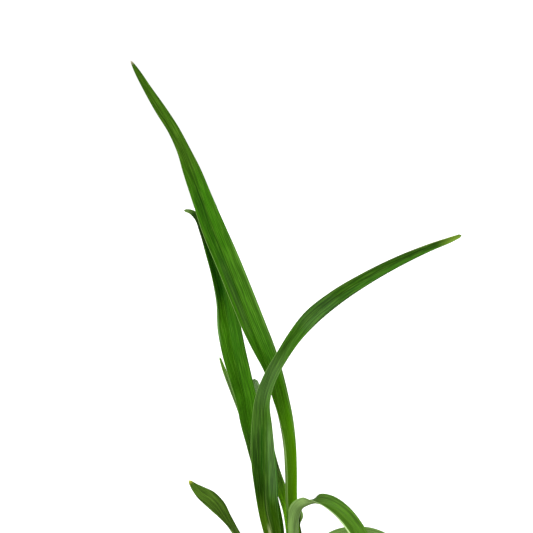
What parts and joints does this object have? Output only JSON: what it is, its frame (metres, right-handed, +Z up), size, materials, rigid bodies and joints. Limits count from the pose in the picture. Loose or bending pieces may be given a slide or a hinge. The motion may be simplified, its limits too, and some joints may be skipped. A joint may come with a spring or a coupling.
{
  "type": "potted daylily",
  "caption": "Young potted daylily: folded strap leaves, upright, arching and bent over, standing in compost in a round tapered nursery pot with a skirted rim.",
  "frame": {"origin": "centre of the pot's underside, on the surface it stands on", "axes": "+Z up along the pot's axis, +X to the right and -Y towards the viewer of the picture"},
  "size_m": [0.2369, 0.152, 0.493],
  "materials": {
    "pot_plastic": "satin black, finely grained",
    "compost": "moist, crumbly and dull",
    "root": "fleshy, pale, dull",
    "leaf": "satin, fine lengthwise veins"
  },
  "bodies": {
    "root": {"pot": "pot_plastic", "soil": "compost", "crown": "root", "leaf_tall": "leaf", "leaf_behind_tall": "leaf", "leaf_arching_right": "leaf", "leaf_short_left": "leaf", "leaf_recurved": "leaf", "leaf_low_right": "leaf", "leaf_pointed": "leaf", "leaf_round_tipped": "leaf", "leaf_crinkled": "leaf"}
  },
  "joints": []
}
